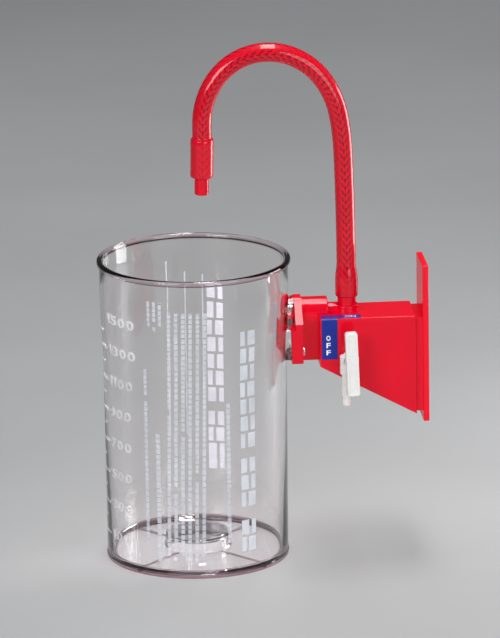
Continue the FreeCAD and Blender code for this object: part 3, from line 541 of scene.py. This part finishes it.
def arc(centre, radius, start, end, steps):
    """Points (radius, height) on an arc between two angles in degrees."""
    points = []
    for i in range(steps + 1):
        angle = math.radians(start + (end - start) * i / steps)
        points.append((centre[0] + radius * math.cos(angle), centre[1] + radius * math.sin(angle)))
    return points


def swing(share):
    """The part of a sideways move that is made at a share of the way, on two equal arcs."""
    rest = 1.0 - share
    return 2.0 * share * share if share < 0.5 else 1.0 - 2.0 * rest * rest


def soft_step(share):
    return share * share * (3.0 - 2.0 * share)


def flare(r0, z0, r1, z1):
    """Points of two equal arcs that swing a wall from one radius to another."""
    steps = 12
    return [(r0 + (r1 - r0) * swing(i / steps), z0 + (z1 - z0) * (i / steps)) for i in range(1, steps)]


def jar_profile(sizes):
    """The jar's half section: punt, foot ring, barrel, flare, rim bead and inner wall."""
    height = jar_high[2]
    foot_edge = 0.8 * MM
    foot_height = 3.0 * MM
    floor_low = 1.6 * MM
    floor_top = 4.0 * MM
    punt_radius = 21.5 * MM
    punt_top_radius = 20.3 * MM
    punt_top = 12.6 * MM
    punt_edge = 0.6 * MM
    floor_wall = floor_top - floor_low
    rim_bottom = height - 3.6 * MM
    rim_round = 1.75 * MM
    rim_low_round = 1.2 * MM
    lip_round = 1.75 * MM
    fillet = 2.0 * MM
    inner_low = sizes.low_radius - sizes.wall
    inner_neck = sizes.neck_radius - sizes.wall
    inner_mid = sizes.mid_radius - sizes.wall
    outline = [(0.0, punt_top - floor_wall)]
    outline += [(punt_top_radius - floor_wall - punt_edge, punt_top - floor_wall)]
    outline += [(punt_top_radius - floor_wall, punt_top - floor_wall - punt_edge)]
    outline += [(punt_radius - floor_wall, floor_low), (sizes.foot_inner_radius, floor_low)]
    outline += [(sizes.foot_inner_radius, 0.0)]
    outline += arc((sizes.foot_radius - foot_edge, foot_edge), foot_edge, -90.0, 0.0, 5)
    outline += [(sizes.foot_radius, foot_height - foot_edge / 2), (sizes.low_radius, foot_height)]
    outline += [(sizes.mid_radius, FLARE_START)]
    outline += flare(sizes.mid_radius, FLARE_START, sizes.neck_radius, FLARE_END)
    outline += [(sizes.neck_radius, FLARE_END), (sizes.neck_radius, rim_bottom)]
    outline += arc((sizes.rim_radius - rim_low_round, rim_bottom + rim_low_round),
                   rim_low_round, -90.0, 0.0, 4)
    outline += arc((sizes.rim_radius - rim_round, height - rim_round), rim_round, 0.0, 90.0, 6)
    outline += arc((inner_neck + lip_round, height - lip_round), lip_round, 90.0, 180.0, 5)
    outline += [(inner_neck, FLARE_END)]
    outline += flare(inner_neck, FLARE_END, inner_mid, FLARE_START)
    outline += [(inner_mid, FLARE_START)]
    outline += arc((inner_low - fillet, floor_top + fillet), fillet, 0.0, -90.0, 6)
    outline += [(punt_radius, floor_top), (punt_top_radius, punt_top - punt_edge)]
    outline += [(punt_top_radius - punt_edge, punt_top), (0.0, punt_top)]
    return outline


def bar_between(name, low, high):
    """A block from one corner to the other."""
    clear_selection()
    bpy.ops.mesh.primitive_cube_add(size=1.0, location=[(a + b) / 2 for a, b in zip(low, high)])
    block = bpy.context.object
    block.name = name
    block.scale = [b - a for a, b in zip(low, high)]
    settle(block)
    return block


def rod_along_x(name, radius, x0, x1, y, z, sides=64):
    clear_selection()
    bpy.ops.mesh.primitive_cylinder_add(vertices=sides, radius=radius, depth=x1 - x0,
                                        location=((x0 + x1) / 2, y, z), rotation=(0.0, math.pi / 2, 0.0))
    rod = bpy.context.object
    rod.name = name
    settle(rod)
    return rod


def combine(base, tool, operation):
    """Adds a second closed form to the first or cuts it away, and drops the second."""
    change = base.modifiers.new(operation.lower(), "BOOLEAN")
    change.operation = operation
    change.object = tool
    change.solver = "EXACT"
    apply_modifiers(base)
    bpy.data.objects.remove(tool, do_unlink=True)


def wall_radius(sizes, z):
    """The barrel's outer radius at a height, up to the rim."""
    if z <= FLARE_START:
        return sizes.low_radius + (sizes.mid_radius - sizes.low_radius) * z / FLARE_START
    share = min(1.0, (z - FLARE_START) / (FLARE_END - FLARE_START))
    return sizes.mid_radius + (sizes.neck_radius - sizes.mid_radius) * swing(share)


def wrap_on_wall(piece, thickness):
    """Wraps a flat sheet, X along the arc and Y up the wall, round the jar and gives it its thickness."""
    sizes = bpy.context.scene.canister_sizes.jar
    clearance = 0.01 * MM
    solid = piece.modifiers.new("ink", "SOLIDIFY")
    solid.thickness = thickness
    solid.offset = 1.0
    apply_modifiers(piece)
    for vertex in piece.data.vertices:
        x, y, lift = vertex.co
        radius = wall_radius(sizes, y) + clearance + lift
        angle = x / sizes.mid_radius
        vertex.co = (radius * math.cos(angle), radius * math.sin(angle), y)
    tidy_mesh(piece)


def arc_length(degrees):
    """How far round the jar an angle lies, from +X."""
    return math.radians(degrees) * bpy.context.scene.canister_sizes.jar.mid_radius


def sheet_grid(name, x0, x1, y0, y1, columns, rows, keep=None):
    """A flat sheet cut in cells; keep(column, row), where given, says which cells are left."""
    clear_selection()
    bpy.ops.mesh.primitive_grid_add(x_subdivisions=columns, y_subdivisions=rows, size=1.0)
    piece = bpy.context.object
    piece.name = name
    piece.location = ((x0 + x1) / 2, (y0 + y1) / 2, 0.0)
    piece.scale = (x1 - x0, y1 - y0, 1.0)
    settle(piece)
    wide = (x1 - x0) / columns
    high = (y1 - y0) / rows
    for face in piece.data.polygons:
        column = int((face.center.x - x0) / wide)
        row = int((face.center.y - y0) / high)
        face.select = keep is not None and not keep(column, row)
    pick(piece)
    bpy.ops.object.mode_set(mode="EDIT")
    bpy.ops.mesh.select_mode(type="FACE")
    bpy.ops.mesh.delete(type="FACE")
    bpy.ops.object.mode_set(mode="OBJECT")
    return piece


def words_mesh(text, height, width, extrude=0.0, weight=0.012):
    """Plain words as a mesh, centred on the origin in the XY plane, of a given height and width."""
    clear_selection()
    bpy.ops.object.text_add()
    words = bpy.context.object
    words.name = "letter"
    words.data.body = text
    words.data.align_x = "CENTER"
    words.data.align_y = "CENTER"
    words.data.extrude = extrude
    words.data.resolution_u = 4
    words.data.offset = weight
    pick(words)
    bpy.ops.object.convert(target="MESH")
    words = bpy.context.object
    low = Vector([min(v.co[i] for v in words.data.vertices) for i in range(3)])
    high = Vector([max(v.co[i] for v in words.data.vertices) for i in range(3)])
    middle = (low + high) / 2
    for vertex in words.data.vertices:
        vertex.co.x = (vertex.co.x - middle.x) * (width / (high.x - low.x))
        vertex.co.y = (vertex.co.y - middle.y) * (height / (high.y - low.y))
        vertex.co.z = vertex.co.z - middle.z
    return words


def split_faces(piece):
    """Cuts a flat sheet's faces finer, so that it can be wrapped closely."""
    pick(piece)
    bpy.ops.object.mode_set(mode="EDIT")
    bpy.ops.mesh.select_all(action="SELECT")
    bpy.ops.mesh.quads_convert_to_tris()
    bpy.ops.mesh.subdivide(number_cuts=1)
    bpy.ops.object.mode_set(mode="OBJECT")


def join(name, pieces):
    pick(*pieces)
    bpy.ops.object.join()
    piece = bpy.context.object
    piece.name = name
    piece.data.name = name
    return piece


def dress(piece, material, body=MAIN_BODY):
    piece.data.materials.clear()
    piece.data.materials.append(bpy.data.materials[material])
    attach(piece, body)


def spread(seed):
    """A repeatable number from 0 to 1 for a whole number."""
    return (math.sin(seed * 12.9898) * 43758.5453) % 1.0


# Operators

class CANISTER_OT_finishes(bpy.types.Operator):
    """Makes the shared effects and every material"""
    bl_idname = "canister.finishes"
    bl_label = "Finishes"

    def execute(self, context):
        colours = context.scene.canister_sizes.finishes
        moulded_grain_group()
        edge_band_group()
        clear_plastic()
        print_ink(colours.ink, "jar_ink", 0.85)
        print_ink(colours.ink, "fine_ink", 0.42)
        print_ink((0.92, 0.92, 0.95, 1.0), "scale_ink", 0.98, 0.32)
        print_ink((0.93, 0.93, 0.96, 1.0), "label_ink")
        red_plastic(colours)
        white_plastic(colours)
        label_film(colours)
        seal_rubber()
        screw_steel()
        pale_floor(colours)
        return {"FINISHED"}


class CANISTER_OT_mouldings(bpy.types.Operator):
    """Gives every solid of the bracket, valve and seals its material"""
    bl_idname = "canister.mouldings"
    bl_label = "Mouldings"

    def execute(self, context):
        slots = {part["node"]: part["material_slot"] for part in frame["record"]["subparts"]}
        for name, piece in frame["nodes"].items():
            if slots[name] in FINISH_OF_SLOT:
                for slot in piece.material_slots:
                    slot.material = bpy.data.materials[FINISH_OF_SLOT[slots[name]]]
        return {"FINISHED"}


class CANISTER_OT_jar(bpy.types.Operator):
    """Turns the clear jar and joins its port, lug and floor ribs to it"""
    bl_idname = "canister.jar"
    bl_label = "Clear jar"

    def execute(self, context):
        sizes = context.scene.canister_sizes.jar
        jar = lathe("clear_jar", jar_profile(sizes), sizes.segments)
        mid_wall = sizes.mid_radius - sizes.wall / 2
        inside = mid_wall - 4.0 * MM
        port_z = 156.5 * MM
        spud_end = jar_high[0]
        collar_end = 62.5 * MM
        collar_radius = 9.8 * MM
        spud_radius = 5.5 * MM
        bore_radius = 3.2 * MM
        boss_radius = 3.0 * MM
        lug_half = 16.4 * MM
        rib_half = 0.6 * MM
        outworks = rod_along_x("collar", collar_radius, inside, collar_end, 0.0, port_z, 96)
        combine(outworks, rod_along_x("spud", spud_radius, inside, spud_end, 0.0, port_z), "UNION")
        lug = bar_between("lug", (mid_wall - 8.0 * MM, -lug_half, 128.5 * MM),
                          (60.0 * MM, lug_half, 148.0 * MM))
        ease = lug.modifiers.new("ease", "BEVEL")
        ease.width = 1.0 * MM
        ease.segments = 3
        apply_modifiers(lug)
        for side in (-1, 1):
            boss = rod_along_x("boss", boss_radius, mid_wall, 64.2 * MM, side * 13.5 * MM, 133.5 * MM, 32)
            combine(lug, boss, "UNION")
        combine(outworks, lug, "UNION")
        clear_selection()
        bpy.ops.mesh.primitive_cone_add(vertices=sizes.segments, radius1=sizes.low_radius - sizes.wall / 2,
                                        radius2=mid_wall + 0.5 * MM, depth=jar_high[2],
                                        location=(0.0, 0.0, jar_high[2] / 2))
        hollow = bpy.context.object
        settle(hollow)
        combine(outworks, hollow, "DIFFERENCE")
        combine(jar, outworks, "UNION")
        for angle in (44.0, 134.0, 224.0, 314.0):
            rib = bar_between("rib", (19.1 * MM, -rib_half, 0.6 * MM), (55.1 * MM, rib_half, 2.8 * MM))
            rib.rotation_euler = (0.0, 0.0, math.radians(angle))
            settle(rib)
            combine(jar, rib, "UNION")
        combine(jar, rod_along_x("bore", bore_radius, 50.0 * MM, spud_end + MM, 0.0, port_z), "DIFFERENCE")
        tidy_mesh(jar)
        smooth(jar, 32.0)
        dress(jar, "jar_plastic")
        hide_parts("canister")
        return {"FINISHED"}


class CANISTER_OT_scale_print(bpy.types.Operator):
    """Prints the graduations and their numbers on the jar"""
    bl_idname = "canister.scale_print"
    bl_label = "Scale"

    def execute(self, context):
        sizes = context.scene.canister_sizes.printing
        space = 1.4 * MM
        one_width = 3.5 * MM
        lift = 0.8 * MM
        marks = 8
        tick_half = 0.65 * MM
        half_tick_half = 0.45 * MM
        figure_left = arc_length(198.0)
        tick_start = arc_length(180.5)
        tick_end = arc_length(194.3)
        half_tick_end = arc_length(187.0)
        pieces = []
        for i in range(marks):
            z = sizes.top_mark - sizes.mark_pitch * i
            left = figure_left
            for figure in str(1500 - 200 * i):
                width = one_width if figure == "1" else sizes.numeral_width
                digit = words_mesh(figure, sizes.numeral_height, width, weight=0.035)
                digit.location = (left + width / 2, z + lift, 0.0)
                settle(digit)
                split_faces(digit)
                pieces.append(digit)
                left += width + space
            pieces.append(sheet_grid("tick", tick_start, tick_end, z - tick_half, z + tick_half, 10, 1))
            if i < marks - 1:
                half = z - sizes.mark_pitch / 2
                pieces.append(sheet_grid("tick", tick_start, half_tick_end, half - half_tick_half,
                                         half + half_tick_half, 5, 1))
        scale = join("scale_print", pieces)
        wrap_on_wall(scale, sizes.ink_thickness)
        dress(scale, "scale_ink")
        return {"FINISHED"}


def block_column(angle_from, angle_to, runs):
    """Runs of plain blocks up the wall, (height, count) each; every block is split in two uneven bars."""
    step = 11.1 * MM
    joint = 1.7 * MM
    slit = 2.0 * MM
    left = arc_length(angle_from)
    right = arc_length(angle_to)
    bars = []
    for low, count in runs:
        for index in range(count):
            bottom = low + step * index
            split = left + (right - left) * (0.4, 0.6, 0.5)[index % 3]
            for x0, x1 in ((left, split - slit / 2), (split + slit / 2, right)):
                bars.append(sheet_grid("block", x0, x1, bottom, bottom + step - joint, 4, 1))
    return bars


def line_cells(column, row):
    """Which cells of a fine line are inked: plain short bars, some of them left out."""
    cells = 6 + int(3 * spread(17 * column + row // 36))
    return row % cells != 0 and spread(row // cells + 31 * column) > 0.03


def column_cells(column, row):
    """The cells of several fine lines side by side, with a bare column between two."""
    return column % 2 == 0 and line_cells(column, row)


class CANISTER_OT_block_print(bpy.types.Operator):
    """Prints plain blocks and fine bars on the jar"""
    bl_idname = "canister.block_print"
    bl_label = "Blocks"

    def execute(self, context):
        sizes = context.scene.canister_sizes.printing
        runs = ((15.2 * MM, 2), (44.6 * MM, 3), (83.0 * MM, 7))
        near = block_column(294.2, 304.8, runs)
        far = block_column(66.7, 77.3, ((36.5 * MM, 1), runs[1], runs[2]))
        fine_top = 173.6 * MM
        lean = 0.017
        fine = sheet_grid("fine_lines", arc_length(248.7), arc_length(272.9), 11.0 * MM, fine_top, 11, 320,
                          column_cells)
        for vertex in fine.data.vertices:
            vertex.co.x -= (fine_top - vertex.co.y) * lean
        pieces = [fine]
        for angle_from, angle_to, low, high in ((231.6, 233.8, 20.0, 136.0), (239.5, 242.3, 7.0, 94.0),
                                                (284.6, 287.0, 19.0, 116.5)):
            pieces.append(sheet_grid("line", arc_length(angle_from), arc_length(angle_to),
                                     low * MM, high * MM, 1, int((high - low) / 0.5), line_cells))
        pieces.append(sheet_grid("short_lines", arc_length(235.5), arc_length(245.0),
                                 160.5 * MM, 180.0 * MM, 5, 38, column_cells))
        for angle, low, high in ((102.8, 60.0, 176.0), (91.2, 60.0, 168.5), (80.0, 60.0, 166.5)):
            pieces.append(sheet_grid("far_line", arc_length(angle - 0.4), arc_length(angle + 0.4),
                                     low * MM, high * MM, 1, 60))
        for name, parts, ink in (("block_print", near + far, "jar_ink"), ("fine_print", pieces, "fine_ink")):
            print_layer = join(name, parts)
            wrap_on_wall(print_layer, sizes.ink_thickness)
            dress(print_layer, ink)
        return {"FINISHED"}


class CANISTER_OT_hose(bpy.types.Operator):
    """Runs the braided tube along its route, with both ends stretched over their barbs"""
    bl_idname = "canister.hose"
    bl_label = "Hose"

    def execute(self, context):
        sizes = context.scene.canister_sizes.hose
        route = [
            (96.5, 165.0), (96.5, 200.8), (95.8, 243.0), (94.7, 272.5), (90.1, 295.1), (77.1, 314.4),
            (56.9, 324.9), (34.4, 323.7), (16.3, 310.9), (6.7, 290.0), (6.8, 267.5), (6.2, 245.6),
        ]
        line = bpy.data.curves.new("hose_line", "CURVE")
        line.dimensions = "3D"
        line.resolution_u = 24
        spline = line.splines.new("NURBS")
        spline.points.add(len(route) - 1)
        for point, (x, z) in zip(spline.points, route):
            point.co = (x * MM, 0.0, z * MM, 1.0)
        spline.order_u = 3
        spline.use_endpoint_u = True
        guide = bpy.data.objects.new("hose_line", line)
        context.scene.collection.objects.link(guide)
        path_mesh = bpy.data.meshes.new_from_object(guide)
        path = [vertex.co.copy() for vertex in path_mesh.vertices]
        bpy.data.objects.remove(guide, do_unlink=True)
        bpy.data.curves.remove(line)
        bpy.data.meshes.remove(path_mesh)
        reach = [0.0]
        for a, b in zip(path, path[1:]):
            reach.append(reach[-1] + (b - a).length)
        length = reach[-1]
        hose = hose_mesh("braided_hose", path, reach, hose_stations(sizes, length))
        braided_hose(context.scene.canister_sizes.finishes, sizes, length)
        smooth(hose, 40.0)
        dress(hose, "hose_braid")
        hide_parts("vacuum_hose")
        return {"FINISHED"}


def hose_stations(sizes, length):
    """(distance along, radius) of each ring of the tube, from the fitting to the free end."""
    swell_length = 11.0 * MM
    cone_length = 11.0 * MM
    cuff_length = 26.0 * MM
    cuff_cone = 2.2 * MM
    edge = 0.9 * MM
    step = 1.5 * MM
    start_bore = 4.5 * MM
    end_bore = 4.6 * MM
    rings = [(0.0, start_bore)]
    for i in range(5):
        angle = math.pi / 2 * i / 4
        rings.append((edge * (1.0 - math.cos(angle)), sizes.swell_radius - edge + edge * math.sin(angle)))
    rings.append((swell_length * 0.6, sizes.swell_radius))
    for i in range(9):
        share = i / 8
        rings.append((swell_length + cone_length * share,
                      sizes.swell_radius + (sizes.radius - sizes.swell_radius) * soft_step(share)))
    start = swell_length + cone_length
    end = length - cuff_length
    count = int((end - start) / step)
    for i in range(1, count):
        rings.append((start + (end - start) * i / count, sizes.radius))
    for i in range(7):
        share = i / 6
        rings.append((end + cuff_cone * share,
                      sizes.radius + (sizes.cuff_radius - sizes.radius) * soft_step(share)))
    for i in range(1, 8):
        rings.append((end + cuff_cone + (cuff_length - cuff_cone - edge) * i / 8, sizes.cuff_radius))
    for i in range(5):
        angle = math.pi / 2 * i / 4
        rings.append((length - edge + edge * math.sin(angle),
                      sizes.cuff_radius - edge + edge * math.cos(angle)))
    rings.append((length, end_bore))
    return rings


def hose_mesh(name, path, reach, stations):
    """A tube of rings along the path, closed at both ends, with its turn and length as a UV map."""
    sides = 48
    length = reach[-1]
    vertices = []
    for distance, radius in stations:
        index = next(i for i in range(1, len(reach)) if reach[i] >= distance - 1e-9 or i == len(reach) - 1)
        a, b = path[index - 1], path[index]
        share = (distance - reach[index - 1]) / (reach[index] - reach[index - 1])
        centre = a.lerp(b, share)
        before = path[max(index - 2, 0)]
        after = path[min(index + 1, len(path) - 1)]
        along = (after - before).normalized()
        across = Vector((0.0, 1.0, 0.0))
        out = across.cross(along).normalized()
        for side in range(sides):
            angle = 2.0 * math.pi * side / sides
            vertices.append(centre + radius * (math.cos(angle) * out + math.sin(angle) * across))
    faces = []
    rings = len(stations)
    for ring in range(rings - 1):
        for side in range(sides):
            turn = (side + 1) % sides
            faces.append((ring * sides + side, ring * sides + turn,
                          (ring + 1) * sides + turn, (ring + 1) * sides + side))
    faces.append(tuple(range(sides)))
    faces.append(tuple((rings - 1) * sides + side for side in reversed(range(sides))))
    mesh = bpy.data.meshes.new(name)
    mesh.from_pydata([tuple(v) for v in vertices], [], faces)
    uv = mesh.uv_layers.new(name="UVMap")
    for polygon in mesh.polygons:
        for corner, loop_index in enumerate(polygon.loop_indices):
            vertex = mesh.loops[loop_index].vertex_index
            side = vertex % sides
            turn = 1.0 if side == 0 and len(polygon.vertices) == 4 and corner in (1, 2) else side / sides
            uv.data[loop_index].uv = (turn, stations[vertex // sides][0] / length)
    piece = bpy.data.objects.new(name, mesh)
    bpy.context.scene.collection.objects.link(piece)
    tidy_mesh(piece)
    return piece


class CANISTER_OT_label_words(bpy.types.Operator):
    """Prints OFF down the label's front leg and ON along its top leg"""
    bl_idname = "canister.label_words"
    bl_label = "Label words"

    def execute(self, context):
        ink = context.scene.canister_sizes.printing.ink_thickness
        pieces = []
        for letter, z in zip("OFF", (142.6, 137.9, 133.2)):
            word = words_mesh(letter, 3.3 * MM, 2.7 * MM, extrude=ink, weight=0.03)
            word.rotation_euler = (math.pi / 2, 0.0, 0.0)
            word.location = (82.9 * MM, label_low[1], z * MM)
            settle(word)
            pieces.append(word)
        word = words_mesh("ON", 4.2 * MM, 7.0 * MM, extrude=ink)
        word.location = (97.3 * MM, -13.4 * MM, label_high[2])
        settle(word)
        pieces.append(word)
        words = join("label_words", pieces)
        tidy_mesh(words)
        dress(words, "label_ink")
        return {"FINISHED"}


class CANISTER_OT_stage(bpy.types.Operator):
    """Lays the pale floor, hangs the soft lamps and sets the camera"""
    bl_idname = "canister.stage"
    bl_label = "Stage"

    def execute(self, context):
        sizes = context.scene.canister_sizes.stage
        clear_selection()
        bpy.ops.mesh.primitive_grid_add(x_subdivisions=4, y_subdivisions=4, size=2.0 * sizes.floor_half)
        floor = context.object
        floor.name = "floor"
        floor.data.materials.append(bpy.data.materials["pale_floor"])
        target = Vector((35.18 * MM, 0.0, 152.04 * MM))
        elevation = sizes.elevation
        azimuth = sizes.azimuth
        back = Vector((math.sin(azimuth) * math.cos(elevation), -math.cos(azimuth) * math.cos(elevation),
                       math.sin(elevation)))
        level = (-back).cross(Vector((0.0, 0.0, 1.0))).normalized()
        upright = level.cross(-back)
        right = level * math.cos(sizes.roll) + upright * math.sin(sizes.roll)
        up = upright * math.cos(sizes.roll) - level * math.sin(sizes.roll)
        lens = bpy.data.cameras.new("camera")
        focal_pixels = 7000.0
        picture_height = 638.0
        lens.sensor_width = 36.0
        lens.sensor_fit = "AUTO"
        lens.lens = focal_pixels / picture_height * lens.sensor_width
        lens.clip_end = 60.0
        camera = bpy.data.objects.new("camera", lens)
        place = target + back * sizes.distance
        camera.matrix_world = Matrix((
            (right.x, up.x, back.x, place.x),
            (right.y, up.y, back.y, place.y),
            (right.z, up.z, back.z, place.z),
            (0.0, 0.0, 0.0, 1.0),
        ))
        context.scene.collection.objects.link(camera)
        context.scene.camera = camera
        middle = (0.04, 0.0, 0.16)
        for name, place, aim, width, height, power in (
                ("overhead", (0.17, -0.02, 1.45), (0.17, -0.02, 0.16), 0.28, 1.2, 14.0),
                ("key", (-1.0, -1.3, 0.9), middle, 0.8, 0.8, 17.0),
                ("fill", (1.0, -1.7, 0.7), middle, 1.2, 1.2, 16.0),
                ("strip_right", (0.62, 0.17, 0.21), middle, 0.26, 0.4, 2.8)):
            hang_lamp(name, Vector(place), Vector(aim), width, height, power)
        world = bpy.data.worlds.new("studio")
        world.use_nodes = True
        background = world.node_tree.nodes["Background"]
        background.inputs["Color"].default_value = (0.9, 0.92, 0.95, 1.0)
        background.inputs["Strength"].default_value = 0.11
        context.scene.world = world
        context.scene.view_settings.view_transform = "Standard"
        return {"FINISHED"}


def hang_lamp(name, place, target, width, height, power):
    """A rectangular soft lamp that faces the target."""
    data = bpy.data.lights.new(name, "AREA")
    data.shape = "RECTANGLE"
    data.size = width
    data.size_y = height
    data.energy = power
    lamp = bpy.data.objects.new(name, data)
    lamp.location = place
    lamp.rotation_euler = (place - target).to_track_quat("Z", "Y").to_euler()
    bpy.context.scene.collection.objects.link(lamp)


class CanisterSizes(bpy.types.PropertyGroup):
    jar: PointerProperty(type=JarSizes)
    printing: PointerProperty(type=PrintSizes)
    hose: PointerProperty(type=HoseSizes)
    finishes: PointerProperty(type=Finishes)
    stage: PointerProperty(type=StageSizes)


class CANISTER_PT_panel(bpy.types.Panel):
    bl_label = "Suction canister"
    bl_idname = "CANISTER_PT_panel"
    bl_space_type = "VIEW_3D"
    bl_region_type = "UI"
    bl_category = "Canister"

    def draw(self, context):
        for operator in OPERATORS:
            self.layout.operator(operator.bl_idname)


OPERATORS = (
    CANISTER_OT_finishes,
    CANISTER_OT_mouldings,
    CANISTER_OT_jar,
    CANISTER_OT_scale_print,
    CANISTER_OT_block_print,
    CANISTER_OT_hose,
    CANISTER_OT_label_words,
    CANISTER_OT_stage,
)
GROUPS = (JarSizes, PrintSizes, HoseSizes, Finishes, StageSizes, CanisterSizes)
CLASSES = GROUPS + OPERATORS + (CANISTER_PT_panel,)


def register():
    for item in CLASSES:
        bpy.utils.register_class(item)
    bpy.types.Scene.canister_sizes = PointerProperty(type=CanisterSizes)


def unregister():
    del bpy.types.Scene.canister_sizes
    for item in reversed(CLASSES):
        bpy.utils.unregister_class(item)


def main():
    register()
    for operator in OPERATORS:
        area, name = operator.bl_idname.split(".")
        getattr(getattr(bpy.ops, area), name)()


if __name__ == "__main__":
    main()
